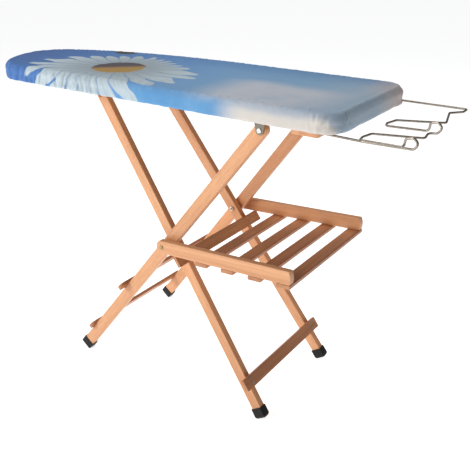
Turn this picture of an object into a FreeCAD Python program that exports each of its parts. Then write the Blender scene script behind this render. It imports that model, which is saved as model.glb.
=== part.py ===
"""Folding wooden ironing board: one STEP file for each separate piece.

Frame: X runs along the board (nose at -X, square end and iron rest at +X), Y across it, +Z up.
The origin is on the floor, straight below the bolt line where the two leg frames cross.
All sizes are millimetres. Each leg frame is wider at its feet than at its top.
"""
import FreeCAD
import Part
import math
import os

V = FreeCAD.Vector
X_AXIS, Y_AXIS, Z_AXIS = V(1, 0, 0), V(0, 1, 0), V(0, 0, 1)
CENTRE = V(0, 0, 0)
BEYOND = 2000.0                 # past every face, for cutting tools

# ---- leg frames -------------------------------------------------------------------------------
CROSS_Z = 470.0                 # height of the bolt line where the frames cross
ARM = 469.0                     # from the crossing up to the board hinge, and up to the top dowel
OUTER_LEAN = 37.8               # outer legs from vertical, tops towards the square end
INNER_LEAN = -35.4              # inner legs from vertical, tops towards the nose
SPLAY = 3.25                    # each leg's outward slope, towards its foot
OUTER_FACE_Y = 183.8            # outer face of the outer legs at the bolt line
INNER_FACE_Y = 157.9            # outer face of the inner legs at the bolt line
LEG_THICK = 20.5
OUTER_WIDTH = 35.4
INNER_WIDTH = 33.4
EDGE_ROUND = 2.5                # softened edges of the timber

# ---- crossbars: distance below the bolt line along the leg -------------------------------------
OUTER_BAR_DROPS = {"upper": 239.0, "lower": 480.0}
OUTER_BAR_WIDTH = 30.0
OUTER_BAR_LENGTH = 450.0
INNER_BAR_DROPS = {"upper": 57.0, "lower": 456.0}
INNER_BAR_WIDTH = 34.0
INNER_BAR_LENGTH = 412.0
BAR_THICK = 10.0
OUTER_BAR_END_ROUND = 14.0

# ---- feet ---------------------------------------------------------------------------------------
FOOT_WALL = 2.5
FOOT_HEIGHT = 33.0
FOOT_SOLE = 8.0
FOOT_ROUND = 9.0
FOOT_FLAT = 0.6                 # depth of the flat that the floor presses on each foot
FOOT_DROP = 586.0               # first guess along the leg; each foot is then set on the floor

# ---- pivots -------------------------------------------------------------------------------------
BOLT_R = 4.0
RUNNING_GAP = 0.05
BOLT_HEAD_R = 6.0
BOLT_HEAD_THICK = 2.5
SPACER_R = 11.0
SPACER_GAP = 0.4
NUT_R = 6.5
NUT_THICK = 6.0
RIVET_R = 3.5
RIVET_HEAD_R = 6.5
RIVET_HEAD_THICK = 3.0
RIVET_TAIL_THICK = 1.2
RIVET_TAIL_R = 5.5
RIVET_DIMPLE_R = 2.45
RIVET_DOME = 2.1
DOWEL_R = 10.0
DOWEL_RECESS = 2.0              # its ends, behind the outer faces of the legs

# ---- shelf --------------------------------------------------------------------------------------
SHELF_TILT = 3.8                # rails rise towards their free end
RAIL_OUTER_Y = 209.9
RAIL_THICK = 18.0
RAIL_HEIGHT = 39.0
RAIL_LENGTH = 417.0             # bolt line to free end
RAIL_END_BULGE = 4.0
SLAT_COUNT = 4
SLAT_WIDTH = 40.0
SLAT_THICK = 11.0
SLAT_PITCH = 86.0

# ---- board --------------------------------------------------------------------------------------
BOARD_BOTTOM_Z = 878.5
CORE_THICK = 16.0
PAD_THICK = 19.2
COVER_THICK = 3.0
HEM_DROP = 2.5                  # how far the hem hangs below the core
HEM_LIP = 30.0                  # width of the cover folded under the core
SQUARE_END_X = 514.0
NOSE_X = -691.0
NOSE_TIP_Y = -6.0               # the nose is lopsided: its tip lies a little to the front
HALF_WIDTH = 208.0
FRONT_TAPER = 148.0             # length of the short elliptical curve on the front side
BACK_TAPER = 700.0              # length of the long elliptical curve on the back side
CORNER_R = 60.0
COVER_GAP = 0.3
HEM_CORD = 3.0

# ---- under the board ----------------------------------------------------------------------------
BATTEN_X = (378.0, 448.0)
BATTEN_HALF_LENGTH = 166.0
BATTEN_THICK = 29.5
RACK_Y = 85.0
RACK_THICK = 18.0
RACK_SEAT_Z = 862.6
RACK_TOOTH_Z = 842.0
RACK_PITCH = 45.0
RACK_NOTCHES = 4
RACK_TOOTH = 11.0
RACK_END = 14.0                 # timber past the dowel at the square-end side
RACK_PLAY = 0.6
BRACKET_THICK = 2.0
BRACKET_WIDTH = 36.0
BRACKET_TIP_R = 11.0
BRACKET_FLANGE = 30.0
BRACKET_CLEAR = 1.8

# ---- screws -------------------------------------------------------------------------------------
SCREW_R = 2.0
SCREW_HEAD_R = 4.0
SCREW_HEAD_THICK = 1.2
BAR_SCREW_OFFSET = 8.0          # each of the two screws at a joint, from the bar's middle
BAR_SCREW_LENGTH = 24.0
SLAT_SCREW_LENGTH = 28.0
BRACKET_SCREW_LENGTH = 14.0
BRACKET_SCREW_INSET = 12.0      # behind the face of the leg
BRACKET_SCREW_X = 10.0
BATTEN_SCREW_LENGTH = 36.0
BATTEN_SCREW_Y = (-130.0, -45.0, 45.0, 130.0)
RACK_SCREW_LENGTH = 22.0
RACK_SCREW_X = (12.0, -39.0, -129.0)     # from the dowel's resting place

# ---- iron rest ----------------------------------------------------------------------------------
WIRE_R = 2.75
WIRE_BEND_R = 9.0
REST_Z = 872.0
REST_FRONT_SOCKET = (428.0, -142.0, 856.0)
REST_BACK_SOCKET = (420.0, 140.0, 864.0)
REST_FRONT_BEND = (571.0, -199.5)
REST_BACK_BEND = (466.0, 202.0)
REST_END_X = 691.8              # corner of the raised stops, before rounding
FINGER_ONE = ((560.0, -191.5), (556.0, -168.0), (562.0, -133.0), (670.0, -102.0))
FINGER_TWO = ((562.0, -55.0), (555.0, -34.0), (563.0, 5.0), (667.0, 46.0))
REST_LINK = (662.0, -58.0)      # bend between the first finger and the second stop
REST_RETURN = ((643.0, 141.0), (668.0, 170.0), (668.0, 202.0))
STOP_SHIFT = 11.0               # second stop comes down this far behind its finger's corner
STOP_CORNERS = ((-10.0, 2.0), (0.0, 14.0), (-14.0, 25.0), (-31.0, 20.0), (-34.0, 0.5))


def leg_direction(lean):
    """Unit vector up a leg in the XZ plane, with the splay left out."""
    angle = math.radians(lean)
    return V(math.sin(angle), 0, math.cos(angle))


def leg_point(lean, distance):
    """Point on a leg's centre line in the XZ plane, measured up from the bolt line."""
    return V(0, 0, CROSS_Z) + leg_direction(lean) * distance


HINGE = leg_point(OUTER_LEAN, ARM)
DOWEL = leg_point(INNER_LEAN, ARM)


def place_on_leg(shape, lean, face_y):
    """Move a shape from leg space (X across the leg, Y into the leg, Z up it) to the front leg."""
    placed = shape.copy()
    placed.rotate(CENTRE, X_AXIS, -SPLAY)
    placed.rotate(CENTRE, Y_AXIS, lean)
    placed.translate(V(0, -face_y, CROSS_Z))
    return placed


def to_back(shape):
    """The matching piece on the +Y side."""
    return shape.mirror(CENTRE, Y_AXIS)


def rod(start, end, radius):
    """Round bar between two points."""
    return Part.makeCylinder(radius, (end - start).Length, start, end - start)


def cross_rod(point, y_from, y_to, radius):
    """Round bar along Y through a point of the XZ plane."""
    return rod(V(point.x, y_from, point.z), V(point.x, y_to, point.z), radius)


def box(low, high):
    """Box between two corners."""
    size = high - low
    return Part.makeBox(size.x, size.y, size.z, low)


def soften(shape, radius, wanted):
    """Fillet the edges that the test picks."""
    edges = [edge for edge in shape.Edges if wanted(edge)]
    return shape.makeFillet(radius, edges)


def is_along(edge, direction):
    """True for a straight edge parallel to a direction."""
    if not isinstance(edge.Curve, Part.Line):
        return False
    return abs(edge.Curve.Direction.dot(direction)) > 0.999


def write(name, shape):
    """Write one piece as parts/NAME.step."""
    shape.exportStep(os.path.join("parts", name + ".step"))


# ---- leg frames ---------------------------------------------------------------------------------

def leg_blank(width, top):
    """Plank in leg space, round at its top, with softened long edges."""
    half = width / 2
    bottom = -(FOOT_DROP - FOOT_SOLE)
    plank = Part.makeBox(width, LEG_THICK, top - bottom, V(-half, 0, bottom))
    plank = soften(plank, EDGE_ROUND, lambda edge: is_along(edge, Z_AXIS))
    crown = Part.makeCylinder(half, LEG_THICK, V(0, 0, top), Y_AXIS)
    crown = crown.makeFillet(EDGE_ROUND, [edge for edge in crown.Edges if edge.Length > width])
    return plank.fuse(crown).removeSplitter()


def foot_blank(width):
    """Rubber cap in leg space, rounded underneath."""
    half = width / 2 + FOOT_WALL
    depth = LEG_THICK + 2 * FOOT_WALL
    cap = Part.makeBox(2 * half, depth, FOOT_HEIGHT, V(-half, -FOOT_WALL, -FOOT_DROP))
    cap = soften(cap, EDGE_ROUND, lambda edge: is_along(edge, Z_AXIS))
    low = [edge for edge in cap.Edges if edge.BoundBox.ZMax < -FOOT_DROP + 0.1]
    return cap.makeFillet(FOOT_ROUND, low)


def make_leg_and_foot(width, lean, face_y, bores):
    """Front leg and its foot, the foot standing on the floor and the leg bored for its pins."""
    foot = place_on_leg(foot_blank(width), lean, face_y)
    up = place_on_leg(Part.Vertex(0, 0, 1), lean, 0).Point - V(0, 0, CROSS_Z)
    lowest = foot.optimalBoundingBox(False, False).ZMin
    shift = up * (-(lowest + FOOT_FLAT) / up.z)
    leg = place_on_leg(leg_blank(width, ARM), lean, face_y)
    sole_top = FOOT_SOLE - FOOT_DROP
    sole = place_on_leg(box(V(-BEYOND, -BEYOND, sole_top - BEYOND), V(BEYOND, BEYOND, sole_top)),
                        lean, face_y)
    sole.translate(shift)
    foot.translate(shift)
    foot = foot.cut(box(V(-BEYOND, -BEYOND, -BEYOND), V(BEYOND, BEYOND, 0)))
    leg = leg.cut(sole)
    foot = foot.cut(leg)
    for point, radius in bores:
        leg = leg.cut(cross_rod(point, -BEYOND, 0, radius))
    return leg, foot


def make_bar(lean, side, width, length, drop, half_leg, end_round):
    """Crossbar on the upper edge of two legs; side is +1 for the +X edge and -1 for the -X edge."""
    near = side * half_leg
    x_low = min(near, near + side * BAR_THICK)
    bar = Part.makeBox(BAR_THICK, length, width, V(x_low, -length / 2, -drop - width / 2))
    bar = soften(bar, end_round, lambda edge: is_along(edge, X_AXIS))
    bar.rotate(CENTRE, Y_AXIS, lean)
    bar.translate(V(0, 0, CROSS_Z))
    return bar


def bar_screws(lean, side, half_leg, drops, screw_y):
    """Two countersunk screws where a crossbar meets each leg."""
    screws = []
    head_x = side * (half_leg + BAR_THICK)
    for drop, y_here in zip(drops, screw_y):
        for sign in (-1, 1):
            for offset in (-BAR_SCREW_OFFSET, BAR_SCREW_OFFSET):
                start = V(head_x + side * SCREW_HEAD_THICK / 2, sign * y_here, -drop + offset)
                shank = rod(start, start - X_AXIS * (side * BAR_SCREW_LENGTH), SCREW_R)
                head = rod(start, start - X_AXIS * (side * SCREW_HEAD_THICK), SCREW_HEAD_R)
                screw = shank.fuse(head)
                screw.rotate(CENTRE, Y_AXIS, lean)
                screw.translate(V(0, 0, CROSS_Z))
                screws.append(screw)
    return Part.makeCompound(screws)


def leg_middle_y(face_y, drop):
    """Middle of a leg's thickness, a distance below the bolt line."""
    return face_y - LEG_THICK / 2 + drop * math.tan(math.radians(SPLAY))


def make_leg_frame(kind, lean, side, width, face_y, drops, bar_width, bar_length, end_round, bores):
    """All the timber, feet and screws of one leg frame, by node name."""
    parts = {}
    leg, foot = make_leg_and_foot(width, lean, face_y, bores)
    levels = ("upper", "lower")
    bars = {level: make_bar(lean, side, bar_width, bar_length, drops[level], width / 2, end_round)
            for level in levels}
    screws = bar_screws(lean, side, width / 2, [drops[level] for level in levels],
                        [leg_middle_y(face_y, drops[level]) for level in levels])
    parts[kind + "_leg_front"] = leg.cut(screws)
    parts[kind + "_leg_back"] = to_back(leg).cut(screws)
    parts[kind + "_foot_front"] = foot
    parts[kind + "_foot_back"] = to_back(foot)
    for level in levels:
        parts[kind + "_crossbar_" + level] = bars[level].cut(screws)
    parts[kind + "_crossbar_screws"] = screws
    return parts


# ---- pivots -------------------------------------------------------------------------------------

def pivot_bolt():
    """Bolt through rail and both legs, with a low round head and its nut."""
    centre = V(0, 0, CROSS_Z)
    head_y = -RAIL_OUTER_Y - SPACER_GAP / 2
    end_y = -(INNER_FACE_Y - LEG_THICK) + NUT_THICK + 3.0
    shank = cross_rod(centre, head_y, end_y, BOLT_R)
    head = cross_rod(centre, head_y - BOLT_HEAD_THICK, head_y, BOLT_HEAD_R)
    rim = [edge for edge in head.Edges if edge.BoundBox.YMax < head_y - BOLT_HEAD_THICK + 0.1]
    head = head.makeFillet(BOLT_HEAD_THICK * 0.7, rim)
    return head.fuse(shank)


def pivot_nut():
    """Hexagon nut on the inner end of the bolt."""
    start_y = -(INNER_FACE_Y - LEG_THICK) + 1.2
    corners = [V(NUT_R * math.cos(math.radians(60 * i)), start_y,
                 CROSS_Z + NUT_R * math.sin(math.radians(60 * i))) for i in range(7)]
    nut = Part.Face(Part.makePolygon(corners)).extrude(Y_AXIS * NUT_THICK)
    return nut.cut(cross_rod(V(0, 0, CROSS_Z), -300, 0, BOLT_R))


def spacer(y_from, y_to, trim, standoff):
    """Washer on the bolt that fills the gap beside an outer leg and keeps clear of the other piece."""
    ring = cross_rod(V(0, 0, CROSS_Z), y_from, y_to - standoff, SPACER_R)
    ring = ring.cut(cross_rod(V(0, 0, CROSS_Z), -300, 0, BOLT_R))
    return ring.cut(trim)


def make_pivots(outer_leg):
    """Bolts, nuts and washers of the main pivot, by node name."""
    inner_side = -(OUTER_FACE_Y - LEG_THICK)
    inner_gap = OUTER_FACE_Y - LEG_THICK - INNER_FACE_Y
    shelf_gap_start = -RAIL_OUTER_Y + RAIL_THICK + SPACER_GAP
    leg_washer = spacer(inner_side - 2, inner_side + inner_gap, outer_leg, 1.2)
    shelf_washer = spacer(shelf_gap_start, -OUTER_FACE_Y + 2, outer_leg, 0)
    pieces = {"pivot_bolt": pivot_bolt(), "pivot_nut": pivot_nut(), "leg_washer": leg_washer,
              "shelf_spacer": shelf_washer}
    named = {}
    for name, shape in pieces.items():
        named[name + "_front"] = shape
        named[name + "_back"] = to_back(shape)
    return named


def hinge_face_y():
    """Outer face of an outer leg at the height of the board hinge."""
    return OUTER_FACE_Y - ARM * math.tan(math.radians(SPLAY))


def make_bracket():
    """Front board hinge bracket: a tapered ear beside the leg and a flange screwed to the board."""
    ear_y = -hinge_face_y() - BRACKET_CLEAR
    half = BRACKET_WIDTH / 2
    top = V(HINGE.x - half, ear_y, BOARD_BOTTOM_Z)
    tangent = math.atan2(half - BRACKET_TIP_R, BOARD_BOTTOM_Z - HINGE.z)
    side = V(BRACKET_TIP_R * math.cos(tangent), 0, -BRACKET_TIP_R * math.sin(tangent))
    centre = V(HINGE.x, ear_y, HINGE.z)
    left, right = centre + V(-side.x, 0, side.z), centre + side
    arc = Part.Arc(left, centre - Z_AXIS * BRACKET_TIP_R, right).toShape()
    outline = Part.Wire([Part.makeLine(top, left), arc,
                         Part.makeLine(right, top + X_AXIS * BRACKET_WIDTH),
                         Part.makeLine(top + X_AXIS * BRACKET_WIDTH, top)])
    ear = Part.Face(outline).extrude(-Y_AXIS * BRACKET_THICK)
    flange = box(V(HINGE.x - half, ear_y - BRACKET_THICK, BOARD_BOTTOM_Z - BRACKET_THICK),
                 V(HINGE.x + half, ear_y + BRACKET_FLANGE, BOARD_BOTTOM_Z))
    return ear.fuse(flange).removeSplitter()


def make_rivet():
    """Front hinge rivet with a domed head outside the bracket and a flat tail inside the leg."""
    ear_outer = -hinge_face_y() - BRACKET_CLEAR - BRACKET_THICK
    tail_y = -hinge_face_y() + LEG_THICK + BRACKET_CLEAR
    shank = cross_rod(HINGE, ear_outer, tail_y, RIVET_R)
    head = cross_rod(HINGE, ear_outer - RIVET_HEAD_THICK, ear_outer, RIVET_HEAD_R)
    rim = [edge for edge in head.Edges if edge.BoundBox.YMax < ear_outer - RIVET_HEAD_THICK + 0.1]
    head = head.makeFillet(RIVET_DOME, rim)
    dimple = cross_rod(HINGE, ear_outer - 2 * RIVET_HEAD_THICK, ear_outer - RIVET_HEAD_THICK / 2,
                       RIVET_DIMPLE_R)
    tail = cross_rod(HINGE, tail_y, tail_y + RIVET_TAIL_THICK, RIVET_TAIL_R)
    return shank.fuse([head, tail]).cut(dimple)


# ---- shelf --------------------------------------------------------------------------------------

def make_rail():
    """Front shelf rail: round at the bolt, slightly bowed at its free end."""
    half = RAIL_HEIGHT / 2
    y_here = -RAIL_OUTER_Y
    corners = [V(0, y_here, half), V(RAIL_LENGTH - RAIL_END_BULGE, y_here, half),
               V(RAIL_LENGTH - RAIL_END_BULGE, y_here, -half), V(0, y_here, -half)]
    bow = Part.Arc(corners[1], V(RAIL_LENGTH, y_here, 0), corners[2]).toShape()
    head = Part.Arc(corners[3], V(-half, y_here, 0), corners[0]).toShape()
    outline = Part.Wire([Part.makeLine(corners[0], corners[1]), bow,
                         Part.makeLine(corners[2], corners[3]), head])
    rail = Part.Face(outline).extrude(Y_AXIS * RAIL_THICK)
    rail = soften(rail, EDGE_ROUND, lambda edge: is_along(edge, X_AXIS) or edge.Length > half * 3)
    return rail.cut(cross_rod(CENTRE, -BEYOND, 0, BOLT_R + RUNNING_GAP))


def tilt_shelf(shape):
    """Set a shelf piece at its resting slope about the bolt line."""
    tilted = shape.copy()
    tilted.rotate(CENTRE, Y_AXIS, -SHELF_TILT)
    tilted.translate(V(0, 0, CROSS_Z))
    return tilted


def slat_middle(index):
    """Middle of a slat along the rails, counted from the bolt line."""
    last = RAIL_LENGTH - RAIL_END_BULGE / 2 - SLAT_WIDTH / 2
    return last - (SLAT_COUNT - 1 - index) * SLAT_PITCH


def make_slat(index):
    """Cross slat under the rails."""
    low = V(slat_middle(index) - SLAT_WIDTH / 2, -RAIL_OUTER_Y, -RAIL_HEIGHT / 2 - SLAT_THICK)
    slat = box(low, low + V(SLAT_WIDTH, 2 * RAIL_OUTER_Y, SLAT_THICK))
    return soften(slat, EDGE_ROUND, lambda edge: is_along(edge, Y_AXIS))


def make_shelf():
    """Rails, slats and screws of the shelf, by node name."""
    screws = []
    for index in range(SLAT_COUNT):
        for sign in (-1, 1):
            start = V(slat_middle(index), sign * (RAIL_OUTER_Y - RAIL_THICK / 2),
                      -RAIL_HEIGHT / 2 - SLAT_THICK - SCREW_HEAD_THICK / 2)
            shank = rod(start, start + Z_AXIS * SLAT_SCREW_LENGTH, SCREW_R)
            head = rod(start, start + Z_AXIS * SCREW_HEAD_THICK, SCREW_HEAD_R)
            screws.append(shank.fuse(head))
    screw_set = Part.makeCompound(screws)
    rail = make_rail()
    parts = {"shelf_rail_front": rail.cut(screw_set), "shelf_rail_back": to_back(rail).cut(screw_set),
             "shelf_screws": screw_set}
    for index in range(SLAT_COUNT):
        parts["shelf_slat_%d" % (index + 1)] = make_slat(index).cut(screw_set)
    return {name: tilt_shelf(shape) for name, shape in parts.items()}


# ---- board --------------------------------------------------------------------------------------

def quarter_ellipse(centre, start, end):
    """Quarter of an ellipse between the ends of two of its half axes."""
    if (start - centre).Length > (end - centre).Length:
        return Part.ArcOfEllipse(Part.Ellipse(start, end, centre), 0, math.pi / 2).toShape()
    return Part.ArcOfEllipse(Part.Ellipse(end, start, centre), 0, math.pi / 2).toShape()


def board_outline(inset, z_here):
    """Board outline pulled in by a margin: lopsided nose of two elliptical curves, rounded square end."""
    half = HALF_WIDTH - inset
    tip = V(NOSE_X + inset, NOSE_TIP_Y, z_here)
    front_centre = V(NOSE_X + FRONT_TAPER, NOSE_TIP_Y, z_here)
    back_centre = V(NOSE_X + BACK_TAPER, NOSE_TIP_Y, z_here)
    front_start = V(front_centre.x, -half, z_here)
    back_end = V(back_centre.x, half, z_here)
    corner = CORNER_R - inset
    end_x = SQUARE_END_X - inset
    reach = corner * math.sqrt(0.5)
    edges = [quarter_ellipse(front_centre, front_start, tip),
             quarter_ellipse(back_centre, tip, back_end),
             Part.makeLine(back_end, V(end_x - corner, half, z_here)),
             Part.Arc(V(end_x - corner, half, z_here),
                      V(end_x - corner + reach, half - corner + reach, z_here),
                      V(end_x, half - corner, z_here)).toShape(),
             Part.makeLine(V(end_x, half - corner, z_here), V(end_x, corner - half, z_here)),
             Part.Arc(V(end_x, corner - half, z_here),
                      V(end_x - corner + reach, corner - half - reach, z_here),
                      V(end_x - corner, -half, z_here)).toShape(),
             Part.makeLine(V(end_x - corner, -half, z_here), front_start)]
    return Part.Wire(Part.__sortEdges__(edges))


def board_slab(inset, z_low, z_high):
    """Flat solid with the board's outline."""
    return Part.Face(board_outline(inset, z_low)).extrude(Z_AXIS * (z_high - z_low))


def make_cover():
    """Cover: a thin skin over the pad and round the edge, with a lip folded under the core."""
    hem_z = BOARD_BOTTOM_Z - HEM_DROP
    core_inset = COVER_THICK
    top_z = BOARD_BOTTOM_Z + CORE_THICK + PAD_THICK + COVER_GAP
    skin = board_slab(0, hem_z, top_z + COVER_THICK)
    top_edges = [edge for edge in skin.Edges if edge.BoundBox.ZMin > top_z + COVER_THICK - 0.1]
    skin = skin.makeFillet(COVER_THICK - 0.5, top_edges)
    hollow = board_slab(core_inset, BOARD_BOTTOM_Z - COVER_GAP, top_z)
    mouth = board_slab(HEM_LIP, hem_z - 1, BOARD_BOTTOM_Z)
    return skin.cut(hollow).cut(mouth)


def make_hem_cord():
    """Drawcord that lies along the inner edge of the hem."""
    outer = board_slab(HEM_LIP + COVER_GAP, BOARD_BOTTOM_Z - HEM_CORD, BOARD_BOTTOM_Z - COVER_GAP)
    inner = board_slab(HEM_LIP + COVER_GAP + HEM_CORD, BOARD_BOTTOM_Z - HEM_CORD - 1, BOARD_BOTTOM_Z)
    return outer.cut(inner)


def make_batten():
    """Cross batten near the square end, bored for the ends of the iron rest."""
    batten = box(V(BATTEN_X[0], -BATTEN_HALF_LENGTH, BOARD_BOTTOM_Z - BATTEN_THICK),
                 V(BATTEN_X[1], BATTEN_HALF_LENGTH, BOARD_BOTTOM_Z))
    low = BOARD_BOTTOM_Z - BATTEN_THICK + 0.1
    return soften(batten, EDGE_ROUND, lambda edge: edge.BoundBox.ZMax < low)


def make_rack():
    """Front notched rack: saddles for the dowel, each with a stop tooth on its nose side."""
    y_here = -RACK_Y - RACK_THICK / 2
    right = DOWEL.x + DOWEL_R + RACK_END
    points = [V(right, y_here, BOARD_BOTTOM_Z), V(right, y_here, RACK_SEAT_Z)]
    for notch in range(RACK_NOTCHES):
        stop_x = DOWEL.x - DOWEL_R - RACK_PLAY - notch * RACK_PITCH
        points.append(V(stop_x, y_here, RACK_SEAT_Z))
        points.append(V(stop_x, y_here, RACK_TOOTH_Z))
        points.append(V(stop_x - RACK_TOOTH, y_here, RACK_TOOTH_Z))
        if notch < RACK_NOTCHES - 1:
            points.append(V(stop_x - 2 * RACK_TOOTH, y_here, RACK_SEAT_Z))
    points.append(V(points[-1].x, y_here, BOARD_BOTTOM_Z))
    points.append(points[0])
    return Part.Face(Part.makePolygon(points)).extrude(Y_AXIS * RACK_THICK)


def upward_screws(places, z_surface, length):
    """Screws driven up into the board from given XY places, their heads half sunk in a surface."""
    screws = []
    for x_here, y_here in places:
        start = V(x_here, y_here, z_surface - SCREW_HEAD_THICK / 2)
        shank = rod(start, start + Z_AXIS * length, SCREW_R)
        head = rod(start, start + Z_AXIS * SCREW_HEAD_THICK, SCREW_HEAD_R)
        screws.append(shank.fuse(head))
    return Part.makeCompound(screws)


def rounded_wire(points, bend):
    """Path of straight runs joined by tangent arcs."""
    edges = []
    start = points[0]
    for before, here, after in zip(points, points[1:], points[2:]):
        into = (here - before).normalize()
        out = (after - here).normalize()
        turn = into.getAngle(out)
        trim = bend * math.tan(turn / 2)
        arc_start, arc_end = here - into * trim, here + out * trim
        towards = (out - into).normalize()
        middle = here + towards * (bend / math.cos(turn / 2) - bend)
        edges.append(Part.makeLine(start, arc_start))
        edges.append(Part.Arc(arc_start, middle, arc_end).toShape())
        start = arc_end
    edges.append(Part.makeLine(start, points[-1]))
    return Part.Wire(edges)


def flat_points(places):
    """Points at the height of the iron rest."""
    return [V(x_here, y_here, REST_Z) for x_here, y_here in places]


def stop_loop(enter_y, leave_y):
    """Raised stop: the wire climbs, turns over and comes down beside itself."""
    step = (leave_y - enter_y) / (len(STOP_CORNERS) - 1)
    return [V(REST_END_X + along, enter_y + index * step, REST_Z + rise)
            for index, (along, rise) in enumerate(STOP_CORNERS)]


def rest_path():
    """Centre line of the iron rest from its front batten socket to its back one."""
    points = [V(*REST_FRONT_SOCKET)] + flat_points([REST_FRONT_BEND])
    points += stop_loop(REST_FRONT_BEND[1], FINGER_ONE[0][1]) + flat_points(FINGER_ONE)
    points += flat_points([REST_LINK]) + stop_loop(REST_LINK[1], FINGER_TWO[0][1] + STOP_SHIFT)
    points += flat_points(FINGER_TWO + REST_RETURN + (REST_BACK_BEND,))
    return points + [V(*REST_BACK_SOCKET)]


def make_iron_rest():
    """Iron rest bent from one length of steel wire."""
    points = rest_path()
    path = rounded_wire(points, WIRE_BEND_R)
    ring = Part.Wire(Part.Circle(points[0], (points[1] - points[0]).normalize(), WIRE_R).toShape())
    return path.makePipeShell([ring], True, True)


def make_board():
    """Board, cover, fittings and iron rest, by node name."""
    core_top = BOARD_BOTTOM_Z + CORE_THICK
    core = board_slab(COVER_THICK + COVER_GAP, BOARD_BOTTOM_Z, core_top)
    pad = board_slab(COVER_THICK + COVER_GAP, core_top, core_top + PAD_THICK)
    bracket = make_bracket()
    rack = make_rack()
    rest = make_iron_rest()
    bracket_places = [(HINGE.x + side_x, side * (hinge_face_y() - BRACKET_SCREW_INSET))
                      for side_x in (-BRACKET_SCREW_X, BRACKET_SCREW_X) for side in (-1, 1)]
    bracket_screws = upward_screws(bracket_places, BOARD_BOTTOM_Z - BRACKET_THICK, BRACKET_SCREW_LENGTH)
    batten_mid = sum(BATTEN_X) / 2
    batten_screws = upward_screws([(batten_mid, y_here) for y_here in BATTEN_SCREW_Y],
                                  BOARD_BOTTOM_Z - BATTEN_THICK, BATTEN_SCREW_LENGTH)
    rack_xs = [DOWEL.x + offset for offset in RACK_SCREW_X]
    rack_screws = upward_screws([(x_here, side * RACK_Y) for x_here in rack_xs for side in (-1, 1)],
                                RACK_SEAT_Z, RACK_SCREW_LENGTH)
    rivet = make_rivet()
    bracket = bracket.cut(rivet)
    batten = make_batten().cut(rest).cut(batten_screws)
    core = core.cut(Part.makeCompound([bracket_screws, batten_screws, rack_screws]))
    parts = {"board_core": core, "board_pad": pad, "board_cover": make_cover().cut(batten),
             "hem_cord": make_hem_cord(), "cross_batten": batten, "batten_screws": batten_screws,
             "iron_rest": rest, "bracket_screws": bracket_screws, "rack_screws": rack_screws}
    for name, shape in (("hinge_bracket", bracket.cut(bracket_screws)), ("hinge_rivet", rivet),
                        ("notch_rack", rack.cut(rack_screws))):
        parts[name + "_front"] = shape
    parts["hinge_bracket_back"] = to_back(bracket).cut(bracket_screws)
    parts["hinge_rivet_back"] = to_back(rivet)
    parts["notch_rack_back"] = to_back(rack).cut(rack_screws)
    return parts


def make_dowel():
    """Round bar between the tops of the inner legs; it rests in the racks."""
    half = INNER_FACE_Y - ARM * math.tan(math.radians(SPLAY)) - DOWEL_RECESS
    return cross_rod(DOWEL, -half, half, DOWEL_R)


def main():
    os.makedirs("parts", exist_ok=True)
    bolt_centre = V(0, 0, CROSS_Z)
    outer = make_leg_frame("outer", OUTER_LEAN, -1, OUTER_WIDTH, OUTER_FACE_Y, OUTER_BAR_DROPS,
                           OUTER_BAR_WIDTH, OUTER_BAR_LENGTH, OUTER_BAR_END_ROUND,
                           [(bolt_centre, BOLT_R), (HINGE, RIVET_R + RUNNING_GAP)])
    dowel = make_dowel()
    inner = make_leg_frame("inner", INNER_LEAN, 1, INNER_WIDTH, INNER_FACE_Y, INNER_BAR_DROPS,
                           INNER_BAR_WIDTH, INNER_BAR_LENGTH, EDGE_ROUND,
                           [(bolt_centre, BOLT_R + RUNNING_GAP), (DOWEL, DOWEL_R)])
    inner["top_dowel"] = dowel
    pivots = make_pivots(outer["outer_leg_front"])
    for group in (outer, inner, pivots, make_shelf(), make_board()):
        for name, shape in group.items():
            write(name, shape)


main()
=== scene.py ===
"""Looks of the folding ironing board: cloth cover, pad, wood, metal, rubber, camera and light."""
import math

import bpy
import numpy as np
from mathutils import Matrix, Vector, noise


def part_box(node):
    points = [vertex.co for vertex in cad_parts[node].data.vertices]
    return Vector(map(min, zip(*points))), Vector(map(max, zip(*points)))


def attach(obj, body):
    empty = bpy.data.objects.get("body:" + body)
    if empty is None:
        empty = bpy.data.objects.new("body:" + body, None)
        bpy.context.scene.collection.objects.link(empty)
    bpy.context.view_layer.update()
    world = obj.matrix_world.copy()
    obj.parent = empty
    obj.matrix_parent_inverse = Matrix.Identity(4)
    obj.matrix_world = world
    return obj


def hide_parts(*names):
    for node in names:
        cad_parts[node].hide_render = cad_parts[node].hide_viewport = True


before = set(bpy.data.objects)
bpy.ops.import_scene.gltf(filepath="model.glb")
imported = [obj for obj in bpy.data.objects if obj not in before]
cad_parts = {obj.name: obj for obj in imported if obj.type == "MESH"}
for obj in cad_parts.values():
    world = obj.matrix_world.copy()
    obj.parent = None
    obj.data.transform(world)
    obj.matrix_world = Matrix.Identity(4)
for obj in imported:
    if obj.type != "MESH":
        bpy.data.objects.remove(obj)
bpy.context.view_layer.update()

# ---- sizes in metres ----------------------------------------------------------------------------
COVER_LOW, COVER_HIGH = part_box("board_cover")
HALF_WIDTH = COVER_HIGH.y
NOSE_X = COVER_LOW.x
SQUARE_X = COVER_HIGH.x
TOP_Z = COVER_HIGH.z
HEM_Z = COVER_LOW.z
NOSE_TIP_Y = -0.006
FRONT_TAPER = 0.148
BACK_TAPER = 0.700
CORNER_R = 0.060
AROUND = 1200                   # vertices round the cover
TOP_RINGS = 14                  # rings of vertices on the top, inside its edge band
ARC_POINTS = 90                 # samples on each curved part of the outline, and on the square end
FRONT_POINTS = 200              # samples along the straight front side
BACK_POINTS = 150               # samples along the straight back side
BAND = 0.045                    # width of the top's edge band, which the cloth simulation may move
SHOULDER = 0.015                # how softly the padded top turns down
TURN = 0.005                    # hem's turn under the core
LIP = 0.030                     # cloth folded under the core
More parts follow.
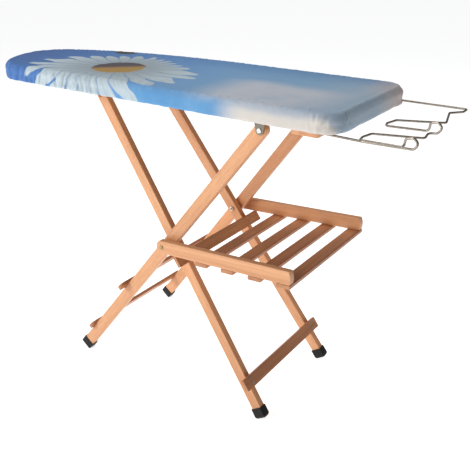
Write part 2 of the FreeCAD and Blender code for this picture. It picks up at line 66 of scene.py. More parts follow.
CLOTH_THICKNESS = 0.0006
GATHER = 0.0045                 # scale of the gathers: a full crease is 1.3 times as deep
CREASE_SEED = 11
LONG_CREASE = 0.0021            # depth of the long creases along the hem
UNEVEN_TOP = 0.0009             # mean dip of the slightly uneven top
SLACK = 0.03                    # share of spare cloth in the edge band, for the simulation
SETTLE_FRAMES = 14
FARTHEST_MOVE = 0.005           # how far the simulation may take a point
FORMER_INSET = 0.006            # the simulation's hidden block lies this far inside the cloth,
FORMER_DROP = 0.003             # this far under the top
FORMER_RISE = 0.002             # and this far above the hem
HEM_FLAT = 0.001                # a profile point this near the hem's height counts as on it
CLEAR = 0.0021                  # how far a crease may sink towards the pad and the core
LIP_RISE = 0.0012               # how far the lip may rise towards the core
TOP_SINK = 0.0015               # how far the edge of the top may sink towards the pad
PAD_CLEAR = 0.0006              # extra room between the visible pad and its CAD side
PAD_DROP = 0.001                # how far the pad's rounded edge lies under its CAD top
ELASTIC_SWAY = 0.0014           # how far the elastic snakes where the cloth is fully gathered

# ---- camera -------------------------------------------------------------------------------------
CAMERA_PLACE = (1.1094, -1.4479, 1.2740)
CAMERA_PITCH = 24.9
CAMERA_YAW = 34.74
CAMERA_LENS = 50.16

# ---- light and floor ----------------------------------------------------------------------------
KEY_POWER = 92
TOP_POWER = 42
FLOOR_SIDE = 60.0               # half the floor's side, in metres
FLOOR_GLOW = 0.80
ROOM_LIGHT = 0.17               # brightness of the room as a light
ROOM_SEEN = 0.96                # brightness of the room where the camera looks at it


# ---- material helpers ---------------------------------------------------------------------------

class Shader:
    """Small helper that builds one node material."""

    def __init__(self, name):
        self.material = bpy.data.materials.new(name)
        self.material.use_nodes = True
        self.tree = self.material.node_tree
        self.surface = self.tree.nodes["Principled BSDF"]

    def link(self, source, target):
        """Join a socket, or put a plain value into one."""
        if isinstance(source, bpy.types.NodeSocket):
            self.tree.links.new(source, target)
        elif isinstance(source, (tuple, list)) and len(source) == 3 and target.type == "RGBA":
            target.default_value = (*source, 1)
        else:
            target.default_value = source

    def node(self, kind, settings=None, **inputs):
        """New node with its settings and its inputs by name."""
        made = self.tree.nodes.new(kind)
        for key, value in (settings or {}).items():
            setattr(made, key, value)
        for key, value in inputs.items():
            self.link(value, made.inputs[key.replace("_", " ")])
        return made

    def math(self, operation, a, b=0.0, c=0.0):
        """One arithmetic step."""
        made = self.node("ShaderNodeMath", {"operation": operation})
        for socket, value in zip(made.inputs, (a, b, c)):
            self.link(value, socket)
        return made.outputs[0]

    def between(self, value, low, high):
        """Smooth step from 0 at low to 1 at high."""
        made = self.node("ShaderNodeMapRange", {"interpolation_type": "SMOOTHSTEP"})
        self.link(value, made.inputs["Value"])
        made.inputs["From Min"].default_value = low
        made.inputs["From Max"].default_value = high
        return made.outputs["Result"]

    def mix(self, share, first, second, how="MIX"):
        """Colour mix."""
        made = self.node("ShaderNodeMix", {"data_type": "RGBA", "blend_type": how})
        self.link(share, made.inputs[0])
        self.link(first, made.inputs[6])
        self.link(second, made.inputs[7])
        return made.outputs[2]

    def ramp(self, value, stops):
        """Colour ramp from (place, colour) stops."""
        made = self.node("ShaderNodeValToRGB")
        self.link(value, made.inputs["Fac"])
        band = made.color_ramp
        while len(band.elements) < len(stops):
            band.elements.new(0.5)
        for element, (place, colour) in zip(band.elements, stops):
            element.position = place
            element.color = (*colour, 1)
        return made.outputs["Color"]

    def noise(self, vector, scale, detail=3.0, rough=0.5, output="Fac", distortion=0.0):
        """Noise texture."""
        made = self.node("ShaderNodeTexNoise", None, Vector=vector, Scale=scale, Detail=detail,
                         Roughness=rough, Distortion=distortion)
        return made.outputs[output]

    def stretched(self, vector, scale, rotation=(0, 0, 0), shift=(0, 0, 0)):
        """Mapping with its own scale, rotation and shift."""
        made = self.node("ShaderNodeMapping", None, Vector=vector, Location=shift,
                         Rotation=rotation, Scale=scale)
        return made.outputs["Vector"]

    def place(self):
        """Rest place of the surface point, in metres."""
        return self.node("ShaderNodeTexCoord").outputs["Object"]

    def bump(self, height, distance, strength=1.0, normal=None):
        """Bump, on top of another normal if one is given."""
        made = self.node("ShaderNodeBump", None, Height=height, Distance=distance,
                         Strength=strength)
        if normal is not None:
            self.link(normal, made.inputs["Normal"])
        return made.outputs["Normal"]

    def finish(self, colour, roughness, normal=None, **plain):
        """Connect the surface and set its plain values."""
        self.link(colour, self.surface.inputs["Base Color"])
        self.link(roughness, self.surface.inputs["Roughness"])
        if normal is not None:
            self.link(normal, self.surface.inputs["Normal"])
        for key, value in plain.items():
            self.surface.inputs[key.replace("_", " ")].default_value = value
        return self.material


def paint(name, material):
    """Give a CAD node one material."""
    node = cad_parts[name]
    node.data.materials.clear()
    node.data.materials.append(material)


# ---- wood ---------------------------------------------------------------------------------------
WORN_EDGE = 0.0022              # width of the worn arris, in metres

def wood(name, along, seed, light, dark):
    """Steamed beech whose grain runs along a direction, different on each piece."""
    s = Shader(name)
    turn = Vector(along).rotation_difference(Vector((1, 0, 0))).to_euler()
    local = s.stretched(s.place(), (1, 1, 1), tuple(turn), (seed * 0.37, seed * 0.11, seed * 0.23))
    broad = s.noise(s.stretched(local, (1.2, 34, 34)), 1.0, 3.0, 0.6, distortion=0.4)
    lines = s.noise(s.stretched(local, (5, 420, 420)), 1.0, 4.0, 0.6)
    flecks = s.noise(s.stretched(local, (230, 1500, 1500)), 1.0, 1.0, 0.5)
    rays = s.between(flecks, 0.60, 0.70)
    blotch = s.noise(local, 7.0, 2.0, 0.5)
    tone = s.mix(s.between(broad, 0.35, 0.68), light, dark)
    tone = s.mix(s.math("MULTIPLY", s.between(lines, 0.42, 0.66), 0.62), tone, dark)
    tone = s.mix(s.math("MULTIPLY", rays, 0.34), tone, tuple(c * 0.45 for c in dark))
    tone = s.mix(s.math("MULTIPLY", blotch, 0.28), tone, (1.0, 0.80, 0.58), "MULTIPLY")
    edge = s.node("ShaderNodeBevel", {"samples": 4}, Radius=WORN_EDGE)
    true_normal = s.node("ShaderNodeNewGeometry").outputs["Normal"]
    dot = s.node("ShaderNodeVectorMath", {"operation": "DOT_PRODUCT"})
    s.link(edge.outputs["Normal"], dot.inputs[0])
    s.link(true_normal, dot.inputs[1])
    worn = s.between(dot.outputs["Value"], 0.995, 0.90)
    scuffs = s.between(s.noise(local, 55.0, 4.0, 0.6), 0.46, 0.66)
    worn = s.math("MULTIPLY", worn, s.math("MULTIPLY_ADD", scuffs, 0.6, 0.15))
    tone = s.mix(worn, tone, tuple(min(1.0, c * 1.35) for c in light))
    rough = s.math("MULTIPLY_ADD", lines, 0.18, 0.36)
    rough = s.math("ADD", rough, s.math("MULTIPLY", worn, 0.15))
    height = s.math("ADD", s.math("MULTIPLY", lines, 0.5), s.math("MULTIPLY", rays, -0.5))
    normal = s.bump(height, 0.00025, 0.7, edge.outputs["Normal"])
    return s.finish(tone, rough, normal, Coat_Weight=0.18, Coat_Roughness=0.28)


WARM = ((0.78, 0.405, 0.200), (0.60, 0.275, 0.120))
RED = ((0.58, 0.265, 0.115), (0.42, 0.165, 0.065))


def paint_wood():
    """All the timber, each piece with its own grain."""
    outer_up, inner_up = (0.613, 0, 0.790), (-0.579, 0, 0.815)
    rail = (0.998, 0, 0.066)
    timber = {"outer_leg_front": (outer_up, WARM), "outer_leg_back": (outer_up, WARM),
              "inner_leg_front": (inner_up, WARM), "inner_leg_back": (inner_up, WARM),
              "shelf_rail_front": (rail, WARM), "shelf_rail_back": (rail, WARM),
              "notch_rack_front": ((1, 0, 0), WARM), "notch_rack_back": ((1, 0, 0), WARM)}
    across = ["outer_crossbar_upper", "outer_crossbar_lower",
              "inner_crossbar_upper", "inner_crossbar_lower",
              "shelf_slat_1", "shelf_slat_2", "shelf_slat_3", "shelf_slat_4"]
    timber.update({name: ((0, 1, 0), RED) for name in across})
    timber["top_dowel"] = ((0, 1, 0), WARM)
    timber["cross_batten"] = ((0, 1, 0), WARM)
    for seed, (name, (along, tones)) in enumerate(sorted(timber.items())):
        paint(name, wood("beech_" + name, along, seed + 1, *tones))


# ---- metal, rubber and board materials ----------------------------------------------------------
BOARD_MESH = 2600.0             # radians per metre of the hardboard's pressed mesh

def metal(name, colour, roughness, scale):
    """Metal with fine draw marks and a mottled finish."""
    s = Shader(name)
    place = s.place()
    mottle = s.noise(place, 90.0, 4.0, 0.6)
    marks = s.noise(s.stretched(place, scale), 1.0, 3.0, 0.6)
    tone = s.mix(s.between(mottle, 0.42, 0.7), colour, tuple(c * 0.72 for c in colour))
    rough = s.math("MULTIPLY_ADD", marks, 0.22, roughness - 0.11)
    normal = s.bump(marks, 0.00008, 0.5)
    return s.finish(tone, rough, normal, Metallic=1.0)


def enamel():
    """Grey-beige enamel with a light orange-peel surface and small dull chips."""
    s = Shader("enamel_taupe")
    place = s.place()
    peel = s.noise(place, 900.0, 2.0, 0.5)
    chips = s.between(s.noise(place, 160.0, 5.0, 0.7), 0.64, 0.70)
    tone = s.mix(chips, (0.19, 0.165, 0.12), (0.30, 0.28, 0.24))
    rough = s.math("MULTIPLY_ADD", peel, 0.15, 0.34)
    return s.finish(tone, rough, s.bump(peel, 0.00008, 0.6), Coat_Weight=0.3)


def rubber():
    """Moulded black rubber with dust in its grain."""
    s = Shader("black_rubber")
    place = s.place()
    grain = s.noise(place, 1400.0, 2.0, 0.5)
    dust = s.between(s.noise(place, 60.0, 4.0, 0.6), 0.48, 0.75)
    tone = s.mix(s.math("MULTIPLY", dust, 0.35), (0.004, 0.004, 0.004), (0.022, 0.021, 0.019))
    rough = s.math("MULTIPLY_ADD", dust, 0.25, 0.46)
    return s.finish(tone, rough, s.bump(grain, 0.00012, 0.7), Specular_IOR_Level=0.25)


def hardboard():
    """Brown hardboard underside with a pressed mesh."""
    s = Shader("hardboard")
    place = s.place()
    apart = s.node("ShaderNodeSeparateXYZ", None, Vector=place)
    mesh_x = s.math("SINE", s.math("MULTIPLY", apart.outputs["X"], BOARD_MESH))
    mesh_y = s.math("SINE", s.math("MULTIPLY", apart.outputs["Y"], BOARD_MESH))
    mesh = s.math("MULTIPLY", mesh_x, mesh_y)
    fibre = s.noise(place, 260.0, 6.0, 0.7)
    tone = s.mix(s.between(fibre, 0.35, 0.7), (0.24, 0.135, 0.07), (0.36, 0.22, 0.12))
    height = s.math("ADD", s.math("MULTIPLY", mesh, 0.4), fibre)
    return s.finish(tone, 0.72, s.bump(height, 0.0003, 0.6))


def plastic():
    """Pale moulded plastic for the spacers."""
    s = Shader("pale_plastic")
    grain = s.noise(s.place(), 700.0, 3.0, 0.5)
    tone = s.mix(s.between(grain, 0.3, 0.8), (0.55, 0.50, 0.42), (0.47, 0.42, 0.34))
    return s.finish(tone, s.math("MULTIPLY_ADD", grain, 0.2, 0.38), s.bump(grain, 0.0001, 0.5))


def paint_hardware():
    """Metal, rubber, plastic and hardboard nodes."""
    bright = metal("bright_nickel", (0.82, 0.81, 0.78), 0.22, (60, 900, 900))
    aged = metal("aged_brass", (0.40, 0.27, 0.13), 0.38, (300, 300, 300))
    zinc = metal("zinc_screw", (0.58, 0.54, 0.46), 0.36, (500, 500, 500))
    sprung = metal("drawn_wire", (0.34, 0.30, 0.255), 0.34, (40, 1200, 1200))
    taupe, black, pale = enamel(), rubber(), plastic()
    groups = [(bright, ["hinge_rivet", "pivot_nut", "leg_washer"]), (aged, ["pivot_bolt"]),
              (taupe, ["hinge_bracket"]), (black, ["outer_foot", "inner_foot"]),
              (pale, ["shelf_spacer"])]
    for material, stems in groups:
        for stem in stems:
            paint(stem + "_front", material)
            paint(stem + "_back", material)
    for name in ("batten_screws", "bracket_screws", "rack_screws", "outer_crossbar_screws",
                 "inner_crossbar_screws", "shelf_screws"):
        paint(name, zinc)
    paint("iron_rest", sprung)
    paint("board_core", hardboard())


# ---- printed cloth ------------------------------------------------------------------------------
FLOWER = (-0.262, -0.060)
FLOWER_HEART = 0.078
PETALS = 25
SPOT = (-0.158, 0.196)          # middle of the dark spot, measured from the flower's
SPOT_SIZE = (0.040, 0.028)
PRINT_START = -0.76             # where the blue ground starts beyond the nose
PRINT_LENGTH = 1.30
THREADS = 4200.0                # radians per metre of one thread of the weave


def weave(s, cut):
    """Plain weave height from the cloth's own flat coordinates."""
    apart = s.node("ShaderNodeSeparateXYZ", None, Vector=cut)
    threads = []
    for axis, other in (("X", "Y"), ("Y", "X")):
        run = s.math("SINE", s.math("MULTIPLY", apart.outputs[axis], THREADS))
        over = s.math("SINE", s.math("MULTIPLY", apart.outputs[other], THREADS / 2))
        threads.append(s.math("ABSOLUTE", s.math("MULTIPLY", run, over)))
    return s.math("MAXIMUM", *threads)


def sky(s, x, y, cloudy):
    """Blue ground of the print: deep at the nose, paler and cloudier towards the square end."""
    along = s.math("MULTIPLY_ADD", x, 1 / PRINT_LENGTH, -PRINT_START / PRINT_LENGTH)
    drift = s.math("ADD", along, s.math("MULTIPLY_ADD", cloudy, 0.10, -0.05))
    ground = s.ramp(drift, [(0.0, (0.022, 0.092, 0.315)), (0.20, (0.036, 0.150, 0.43)),
                            (0.42, (0.085, 0.255, 0.56)), (0.60, (0.15, 0.35, 0.62)),
                            (0.80, (0.20, 0.40, 0.62)), (0.97, (0.36, 0.47, 0.58))])
    back = s.between(y, 0.06, 0.19)
    ground = s.mix(s.math("MULTIPLY", back, 0.55), ground, (0.055, 0.20, 0.46))
    return ground


def printed_cloth():
    """Cotton with a generic daisy on a blue sky."""
    s = Shader("printed_cotton")
    cut = s.node("ShaderNodeAttribute", {"attribute_name": "cut"}).outputs["Vector"]
    wander = s.noise(cut, 5.0, 4.0, 0.55, "Color")
    bent = s.node("ShaderNodeVectorMath", {"operation": "MULTIPLY_ADD"})
    s.link(wander, bent.inputs[0])
    bent.inputs[1].default_value = (0.05, 0.05, 0.0)
    s.link(cut, bent.inputs[2])
    apart = s.node("ShaderNodeSeparateXYZ", None, Vector=bent.outputs[0])
    x = s.math("ADD", apart.outputs["X"], -0.025)
    y = s.math("ADD", apart.outputs["Y"], -0.025)
    cloudy = s.noise(cut, 3.2, 5.0, 0.6)
    colour = sky(s, x, y, cloudy)
    cloud = s.math("MULTIPLY", s.between(x, 0.06, 0.20), s.between(y, 0.05, -0.04))
    cloud = s.math("MULTIPLY", cloud, s.between(x, 0.50, 0.36))
    cloud = s.math("MULTIPLY", cloud, s.between(cloudy, 0.30, 0.52))
    colour = s.mix(s.math("MULTIPLY", cloud, 0.85), colour, (0.62, 0.63, 0.68))
    azure = s.math("MULTIPLY", s.between(y, -0.185, -0.215), s.between(x, -0.17, -0.06))
    colour = s.mix(azure, colour, (0.065, 0.27, 0.56))
    shine = s.math("MULTIPLY", azure, s.between(cloudy, 0.40, 0.62))
    colour = s.mix(s.math("MULTIPLY", shine, 0.5), colour, (0.26, 0.52, 0.74))
    cream = s.math("MULTIPLY", s.between(y, -0.180, -0.222), s.between(x, 0.16, 0.27))
    colour = s.mix(cream, colour, (0.66, 0.62, 0.57))
    dusk = s.math("MULTIPLY", s.between(x, 0.40, 0.53), s.between(y, -0.02, 0.15))
    colour = s.mix(s.math("MULTIPLY", dusk, 0.8), colour, (0.62, 0.49, 0.43))
    colour = daisy(s, cut, colour)
    faded = s.noise(cut, 38.0, 4.0, 0.6)
    colour = s.mix(s.math("MULTIPLY", faded, 0.05), colour, (1.0, 0.98, 0.94))
    threads = weave(s, cut)
    # The low places between the threads are darkened here: painted shade in the weave.
    colour = s.mix(s.math("MULTIPLY_ADD", threads, -0.10, 0.10), colour, (0.0, 0.0, 0.0))
    crumple = s.noise(cut, 30.0, 3.0, 0.55, distortion=0.6)
    normal = s.bump(crumple, 0.0016, 0.35)
    normal = s.bump(threads, 0.00022, 0.5, normal)
    return s.finish(colour, 0.78, normal, Sheen_Weight=0.05, Sheen_Roughness=0.5)


def daisy(s, cut, colour):
    """Flower of the print: pale petals round a heart that is half dark and half golden."""
    moved = s.node("ShaderNodeVectorMath", {"operation": "SUBTRACT"})
    s.link(cut, moved.inputs[0])
    moved.inputs[1].default_value = (*FLOWER, 0)
    apart = s.node("ShaderNodeSeparateXYZ", None, Vector=moved.outputs[0])
    fx, fy = apart.outputs["X"], apart.outputs["Y"]
    radius = s.math("SQRT", s.math("ADD", s.math("MULTIPLY", fx, fx), s.math("MULTIPLY", fy, fy)))
    angle = s.math("ARCTAN2", fy, fx)
    wobble = s.noise(cut, 9.0, 2.0, 0.5)
    turned = s.math("ADD", angle, s.math("MULTIPLY", wobble, 0.35))
    leaf = s.math("ABSOLUTE", s.math("SINE", s.math("MULTIPLY", turned, PETALS / 2)))
    far_side = s.between(fy, -0.02, 0.16)
    reach = s.math("MULTIPLY_ADD", far_side, -0.11, 0.290)
    uneven = s.noise(s.stretched(cut, (1, 1, 1), shift=(3.1, 1.7, 0)), 6.0, 2.0, 0.5)
    reach = s.math("ADD", reach, s.math("MULTIPLY_ADD", uneven, 0.09, -0.045))
    notch = s.math("MULTIPLY_ADD", s.math("POWER", leaf, 0.6), 0.40, 0.60)
    tip = s.math("MULTIPLY", notch, reach)
    petal = s.between(s.math("SUBTRACT", tip, radius), -0.003, 0.010)
    streaks = s.noise(s.node("ShaderNodeCombineXYZ", None, X=s.math("MULTIPLY", angle, 9.0),
                             Y=s.math("MULTIPLY", radius, 6.0)).outputs[0], 3.0, 4.0, 0.6)
    pale = s.mix(s.between(radius, 0.08, 0.24), (0.33, 0.40, 0.44), (0.52, 0.62, 0.68))
    pale = s.mix(s.math("MULTIPLY", s.between(fy, -0.06, -0.17), 0.8), pale, (0.46, 0.55, 0.60))
    pale = s.mix(s.math("MULTIPLY", s.between(streaks, 0.48, 0.7), 0.45), pale, (0.26, 0.36, 0.46))
    groove = s.between(leaf, 0.34, 0.10)
    pale = s.mix(s.math("MULTIPLY", groove, 0.55), pale, (0.13, 0.25, 0.42))
    colour = s.mix(petal, colour, pale)
    lit = s.math("SUBTRACT", s.math("MULTIPLY", fx, 0.69), s.math("MULTIPLY", fy, 0.72))
    seeds = s.noise(cut, 210.0, 3.0, 0.7)
    gold = s.mix(seeds, (0.50, 0.29, 0.04), (0.30, 0.15, 0.02))
    heart = s.mix(s.between(s.math("ADD", lit, s.math("MULTIPLY", seeds, 0.03)), -0.012, 0.034),
                  (0.050, 0.032, 0.045), gold)
    rim = s.math("MULTIPLY_ADD", s.noise(cut, 60.0, 3.0, 0.6), 0.024, FLOWER_HEART - 0.012)
    inside = s.between(s.math("SUBTRACT", rim, radius), -0.003, 0.004)
    colour = s.mix(inside, colour, heart)
    spot_x = s.math("MULTIPLY_ADD", apart.outputs["X"], 1 / SPOT_SIZE[0], -SPOT[0] / SPOT_SIZE[0])
    spot_y = s.math("MULTIPLY_ADD", apart.outputs["Y"], 1 / SPOT_SIZE[1], -SPOT[1] / SPOT_SIZE[1])
    spot = s.math("SQRT", s.math("ADD", s.math("MULTIPLY", spot_x, spot_x),
                                 s.math("MULTIPLY", spot_y, spot_y)))
    return s.mix(s.between(spot, 1.1, 0.9), colour, (0.018, 0.022, 0.020))


# ---- cover geometry -----------------------------------------------------------------------------

def raw_outline():
    """Outline of the board, clockwise from the front corner of the square end."""
    steps = np.linspace(0, math.pi / 2, ARC_POINTS)
    front = NOSE_X + FRONT_TAPER, NOSE_TIP_Y
    back = NOSE_X + BACK_TAPER, NOSE_TIP_Y
    corner_x = SQUARE_X - CORNER_R
    corner_y = HALF_WIDTH - CORNER_R
    pieces = [np.column_stack([np.linspace(corner_x, front[0], FRONT_POINTS),
                               np.full(FRONT_POINTS, -HALF_WIDTH)]),
              np.column_stack([front[0] - FRONT_TAPER * np.sin(steps),
                               front[1] - (HALF_WIDTH + NOSE_TIP_Y) * np.cos(steps)]),
              np.column_stack([back[0] - BACK_TAPER * np.cos(steps),
                               back[1] + (HALF_WIDTH - NOSE_TIP_Y) * np.sin(steps)]),
              np.column_stack([np.linspace(back[0], corner_x, BACK_POINTS),
                               np.full(BACK_POINTS, HALF_WIDTH)]),
              np.column_stack([corner_x + CORNER_R * np.sin(steps),
                               corner_y + CORNER_R * np.cos(steps)]),
              np.column_stack([np.full(ARC_POINTS, SQUARE_X),
                               np.linspace(corner_y, -corner_y, ARC_POINTS)]),
              np.column_stack([corner_x + CORNER_R * np.cos(steps),
                               -corner_y - CORNER_R * np.sin(steps)])]
    return np.vstack(pieces)


def even_outline(count):
    """Evenly spaced outline points and their outward normals."""
    points = raw_outline()
    closed = np.vstack([points, points[:1]])
    gaps = np.hypot(*np.diff(closed, axis=0).T)
    reach = np.concatenate([[0], np.cumsum(gaps)])
    wanted = np.linspace(0, reach[-1], count, endpoint=False)
    even = np.column_stack([np.interp(wanted, reach, closed[:, k]) for k in (0, 1)])
    ahead = np.roll(even, -2, axis=0) - np.roll(even, 2, axis=0)
    ahead /= np.hypot(*ahead.T)[:, None]
    return even, np.column_stack([-ahead[:, 1], ahead[:, 0]]), reach[-1]


def cover_profile():
    """Cross-section of the cover, from the top's edge band to the lip's end: (inset, z) points."""
    points = [(inset, TOP_Z) for inset in np.linspace(BAND, SHOULDER + 0.004, 6)]
    for step in np.linspace(0, math.pi / 2, 6):
        points.append((SHOULDER * (1 - math.sin(step)), TOP_Z - SHOULDER * (1 - math.cos(step))))
    side_low = HEM_Z + TURN
    points += [(0.0, z) for z in np.linspace(TOP_Z - SHOULDER, side_low, 7)[1:-1]]
    for step in np.linspace(0, math.pi / 2, 4):
        points.append((TURN * (1 - math.cos(step)), side_low - TURN * math.sin(step)))
    points += [(inset, HEM_Z) for inset in np.linspace(TURN, LIP, 7)[1:]]
    return np.array(points)


OUTLINE, NORMALS, PERIMETER = even_outline(AROUND)
PROFILE = cover_profile()
RUNS = np.concatenate([[0], np.cumsum(np.hypot(*np.diff(PROFILE, axis=0).T))])


def ring(inset, z_here):
    """Ring of points at an inset from the outline."""
    return np.column_stack([OUTLINE - NORMALS * inset, np.full(len(OUTLINE), z_here)])


def ring_faces(rings, count):
    """Quads between neighbouring rings."""
    return [(r * count + i, r * count + (i + 1) % count, (r + 1) * count + (i + 1) % count,
             (r + 1) * count + i) for r in range(rings - 1) for i in range(count)]


def gathering():
    """How tightly each outline point is gathered: most round the nose's front and the corners."""
    x, y = OUTLINE.T
    front_nose = np.clip((-0.13 - x) / 0.12, 0, 1) * (y < 0.02)
    back_nose = np.clip((-0.42 - x) / 0.20, 0, 1) * 0.45
    corners = np.clip((x - 0.41) / 0.05, 0, 1) * np.clip((np.abs(y) - 0.10) / 0.05, 0, 1) * 0.5
    share = np.maximum.reduce([front_nose, back_nose, corners, np.full(AROUND, 0.10)])
    for _ in range(24):
        share = (np.roll(share, 1) + share + np.roll(share, -1)) / 3
    return share


def creases(depth_down):
    """Inward creases at a distance below the shoulder, along the outline, between 0 and about 1."""
    chance = np.random.default_rng(CREASE_SEED)
    along = np.arange(AROUND) * PERIMETER / AROUND
    total = np.zeros(AROUND)
    here = 0.0
    while here < PERIMETER:
        here += chance.uniform(0.013, 0.034)
        wide = chance.uniform(0.0028, 0.0060)
        deep = chance.uniform(0.35, 1.0)
        slant = chance.uniform(-0.35, 0.65)
        gap = along - here - slant * depth_down
        gap = (gap + PERIMETER / 2) % PERIMETER - PERIMETER / 2
        total = np.maximum(total, deep * np.exp(-(gap / wide) ** 2))
    return total


def long_creases(run):
    """Long shallow creases that run along the hem, strongest beside the square end."""
    heights = [noise.noise(Vector((x * 5.5, y * 5.5, run * 95 + x * 6))) for x, y in OUTLINE]
    strength = np.clip((OUTLINE[:, 0] + 0.05) / 0.30, 0.25, 1)
    return np.array(heights) * strength


def band_mesh():
    """Cloth from the top's edge band down round the hem, and each point's place in the flat cut."""
    tight = gathering()
    wrapped, flat = [], []
    for (inset, z_here), run in zip(PROFILE, RUNS):
        here = ring(inset, z_here)
        below = run - (BAND - SHOULDER)
        reach = np.clip((below + 0.012) / 0.035, 0, 1)
        push = GATHER * tight * reach * (0.80 - 1.3 * creases(max(below, 0.0)))
        push += LONG_CREASE * np.clip(below / 0.02, 0, 1) * long_creases(run)
        under = inset > TURN and z_here < TOP_Z - SHOULDER
        if under:
            here[:, 2] -= np.clip(push, 0, None) * 0.5
        elif below > 0:
            here[:, :2] += NORMALS * push[:, None]
        else:
            here[:, 2] += push * 0.6
        wrapped.append(here)
        flat.append(ring(BAND - run, TOP_Z))
    return np.vstack(wrapped), np.vstack(flat)


def mesh_object(name, points, faces):
    """New mesh object in the scene."""
    mesh = bpy.data.meshes.new(name)
    mesh.from_pydata([tuple(p) for p in points], [], faces)
    mesh.update()
    made = bpy.data.objects.new(name, mesh)
    bpy.context.scene.collection.objects.link(made)
    return made


def simulate_band(band):
    """Let the cloth settle over the pad's edge, held at the top and at the hem's elastic."""
    rings = len(PROFILE)
    held = band.vertex_groups.new(name="held")
    held.add(list(range(2 * AROUND)), 1.0, "REPLACE")
    held.add(list(range((rings - 1) * AROUND, rings * AROUND)), 1.0, "REPLACE")
    former = []
    for inset, z_here in PROFILE:
        level = z_here + FORMER_RISE
        if z_here > HEM_Z + HEM_FLAT:
            level = min(z_here, TOP_Z - FORMER_DROP)
        former.append(ring(inset + FORMER_INSET, level))
    block = mesh_object("sim_block", np.vstack(former), ring_faces(rings, AROUND))
    block.modifiers.new("collide", "COLLISION")
    block.collision.thickness_outer = 0.001
    block.collision.thickness_inner = 0.01
    cloth = band.modifiers.new("cloth", "CLOTH")
    setup = cloth.settings
    setup.quality = 4
    setup.mass = 0.15
    setup.tension_stiffness = 15
    setup.compression_stiffness = 15
    setup.shear_stiffness = 4
    setup.bending_stiffness = 0.02
    setup.air_damping = 2
    setup.vertex_group_mass = "held"
    setup.shrink_min = -SLACK
    setup.effector_weights.gravity = 0.1
    cloth.collision_settings.distance_min = 0.001
    cloth.collision_settings.collision_quality = 2
    cloth.collision_settings.use_self_collision = False
    cloth.point_cache.frame_start = 1
    cloth.point_cache.frame_end = SETTLE_FRAMES
    scene = bpy.context.scene
    scene.frame_start, scene.frame_end = 1, SETTLE_FRAMES
    for step in range(1, SETTLE_FRAMES + 1):
        scene.frame_set(step)
    graph = bpy.context.evaluated_depsgraph_get()
    done = np.empty(rings * AROUND * 3)
    band.evaluated_get(graph).data.vertices.foreach_get("co", done)
    bpy.data.objects.remove(block, do_unlink=True)
    scene.frame_set(1)
    return done.reshape(-1, 3)


def tamed(settled, start, reach):
    """Limit how far a simulated point may stand from where it started."""
    move = settled - start
    length = np.maximum(np.linalg.norm(move, axis=1), 1e-9)
    return start + move * np.minimum(1.0, reach / length)[:, None]


def kept_clear(points):
    """Keep the cloth outside the pad and the core, which lie just under it."""
    clear = points.copy()
    for index, (inset, z_here) in enumerate(PROFILE):
        rows = slice(index * AROUND, (index + 1) * AROUND)
        plain = ring(inset, z_here)
        move = points[rows] - plain
        if z_here <= HEM_Z + TURN and inset > 0:
            clear[rows, 2] = np.minimum(clear[rows, 2], z_here + LIP_RISE)
        elif inset >= SHOULDER:
            clear[rows, 2] = np.maximum(clear[rows, 2], z_here - TOP_SINK)
        inward = np.clip((move[:, :2] * NORMALS).sum(axis=1), None, -CLEAR) + CLEAR
        clear[rows, :2] -= NORMALS * inward[:, None]
    return clear


def make_cover():
    """Cloth cover: simulated band round the edge, and a gently uneven top."""
    start, flat = band_mesh()
    rings = len(PROFILE)
    shaped = start
    band = mesh_object("sim_band", start, ring_faces(rings, AROUND))
    shaped = tamed(simulate_band(band), start, FARTHEST_MOVE)
    bpy.data.objects.remove(band, do_unlink=True)
    shaped = kept_clear(shaped)
    inner = ring(BAND, TOP_Z)
    middle = np.array([inner[:, 0].mean(), 0.0])
    top_rings = []
    for share in np.linspace(0.03, 0.94, TOP_RINGS):
        here = inner.copy()
        here[:, :2] = middle + (inner[:, :2] - middle) * share
        here[:, 2] -= [UNEVEN_TOP * (1 - noise.noise(Vector((x * 6, y * 9, 1.5))))
                       for x, y in here[:, :2]]
        top_rings.append(here)
    points = np.vstack(top_rings + [shaped])
    cuts = np.vstack(top_rings + [flat])
    faces = ring_faces(len(top_rings) + rings, AROUND)
    faces.append(tuple(range(AROUND - 1, -1, -1)))
    cover = mesh_object("cloth_cover", points, faces)
    attribute = cover.data.attributes.new("cut", "FLOAT_VECTOR", "POINT")
    attribute.data.foreach_set("vector", cuts.astype(np.float32).ravel())
    cover.data.polygons.foreach_set("use_smooth", [True] * len(faces))
    thick = cover.modifiers.new("thickness", "SOLIDIFY")
    thick.thickness = CLOTH_THICKNESS
    thick.offset = 1.0
    cover.data.materials.append(printed_cloth())
    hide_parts("board_cover")
    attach(cover, "board")


def felt():
    """Needled felt of the pad."""
    s = Shader("felt")
    fibres = s.noise(s.place(), 420.0, 6.0, 0.75, distortion=1.5)
    tone = s.mix(s.between(fibres, 0.35, 0.7), (0.60, 0.58, 0.53), (0.74, 0.72, 0.67))
    return s.finish(tone, 0.95, s.bump(fibres, 0.0008, 0.8), Sheen_Weight=0.3)


def make_pad():
    """Felt pad under the cover, soft at its upper edge."""
    low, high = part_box("board_pad")
    inset = COVER_HIGH.x - high.x + PAD_CLEAR
    levels = [(inset, low.z), (inset, high.z - SHOULDER)]
    levels += [(inset + SHOULDER * (1 - math.cos(a)),
                high.z - SHOULDER * (1 - math.sin(a)) - PAD_DROP)
               for a in np.linspace(0.2, math.pi / 2, 7)]
    rings = np.vstack([ring(*level) for level in levels])
    faces = ring_faces(len(levels), AROUND)
    faces.append(tuple(range(AROUND)))
    faces.append(tuple(range(len(rings) - 1, len(rings) - 1 - AROUND, -1)))
    pad = mesh_object("felt_pad", rings, faces)
    pad.data.materials.append(felt())
    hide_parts("board_pad")
    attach(pad, "board")


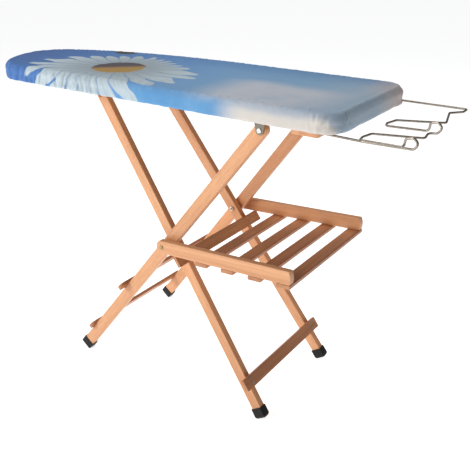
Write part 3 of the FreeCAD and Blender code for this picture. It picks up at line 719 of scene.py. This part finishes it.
def elastic_cloth():
    """Braided elastic."""
    s = Shader("elastic_braid")
    place = s.place()
    braid = s.node("ShaderNodeTexWave", {"bands_direction": "DIAGONAL"}, Vector=place, Scale=420.0,
                   Distortion=1.0).outputs["Fac"]
    tone = s.mix(braid, (0.50, 0.49, 0.46), (0.76, 0.75, 0.71))
    return s.finish(tone, 0.85, s.bump(braid, 0.0004, 0.7), Sheen_Weight=0.2)


def make_elastic():
    """Round elastic that runs along the inner edge of the hem, snaking with the gathers."""
    low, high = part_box("hem_cord")
    radius = (high.z - low.z) / 2
    middle = (high.z + low.z) / 2
    inset = COVER_HIGH.x - high.x + radius
    base = ring(inset, middle)
    share = gathering()
    curve = bpy.data.curves.new("hem_elastic", "CURVE")
    curve.dimensions = "3D"
    spline = curve.splines.new("POLY")
    spline.points.add(AROUND - 1)
    for i, point in enumerate(base):
        sway = ELASTIC_SWAY * share[i] * math.sin(i * 0.9)
        place = point[:2] + NORMALS[i] * sway
        spline.points[i].co = (place[0], place[1], point[2], 1)
    spline.use_cyclic_u = True
    curve.bevel_depth = radius * 0.95
    curve.bevel_resolution = 3
    cord = bpy.data.objects.new("hem_elastic", curve)
    bpy.context.scene.collection.objects.link(cord)
    graph = bpy.context.evaluated_depsgraph_get()
    mesh = bpy.data.meshes.new_from_object(cord.evaluated_get(graph))
    bpy.data.objects.remove(cord, do_unlink=True)
    elastic = bpy.data.objects.new("hem_elastic", mesh)
    bpy.context.scene.collection.objects.link(elastic)
    elastic.data.materials.append(elastic_cloth())
    for polygon in elastic.data.polygons:
        polygon.use_smooth = True
    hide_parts("hem_cord")
    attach(elastic, "board")


# ---- camera, floor and light --------------------------------------------------------------------

def make_camera():
    """Camera at the reference view."""
    data = bpy.data.cameras.new("camera")
    data.sensor_width = 36
    data.lens = CAMERA_LENS
    camera = bpy.data.objects.new("camera", data)
    camera.location = CAMERA_PLACE
    camera.rotation_euler = (math.radians(90 - CAMERA_PITCH), 0, math.radians(CAMERA_YAW))
    bpy.context.scene.collection.objects.link(camera)
    bpy.context.scene.camera = camera


def make_floor():
    """Plain white studio floor."""
    corners = [(x * FLOOR_SIDE, y * FLOOR_SIDE, 0) for x, y in ((-1, -1), (1, -1), (1, 1), (-1, 1))]
    floor = mesh_object("floor", corners, [(0, 1, 2, 3)])
    s = Shader("studio_white")
    s.surface.inputs["Emission Color"].default_value = (1, 1, 1, 1)
    s.surface.inputs["Emission Strength"].default_value = FLOOR_GLOW
    floor.data.materials.append(s.finish((0.9, 0.9, 0.9), 0.9))


def area_light(name, place, target, size, power):
    """Large soft light that points at a place."""
    data = bpy.data.lights.new(name, "AREA")
    data.size = size
    data.energy = power
    light = bpy.data.objects.new(name, data)
    light.location = place
    light.rotation_euler = (Vector(target) - Vector(place)).to_track_quat("-Z", "Y").to_euler()
    bpy.context.scene.collection.objects.link(light)


def make_light():
    """Soft key from the front left, a weaker light from above, and a pale room."""
    area_light("key", (-1.9, -3.0, 1.9), (0, 0, 0.55), 2.0, KEY_POWER)
    area_light("top", (-0.6, 0.9, 3.4), (0, 0, 0.8), 2.4, TOP_POWER)
    world = bpy.data.worlds.new("room")
    world.use_nodes = True
    background = world.node_tree.nodes["Background"]
    background.inputs["Color"].default_value = (0.97, 0.98, 1.0, 1)
    seen = world.node_tree.nodes.new("ShaderNodeLightPath").outputs["Is Camera Ray"]
    strength = world.node_tree.nodes.new("ShaderNodeMapRange")
    strength.inputs["To Min"].default_value = ROOM_LIGHT
    strength.inputs["To Max"].default_value = ROOM_SEEN
    world.node_tree.links.new(seen, strength.inputs["Value"])
    world.node_tree.links.new(strength.outputs["Result"], background.inputs["Strength"])
    bpy.context.scene.world = world
    bpy.context.scene.view_settings.view_transform = "Standard"


make_camera()
make_floor()
make_light()
paint_wood()
paint_hardware()
make_pad()
make_elastic()
make_cover()
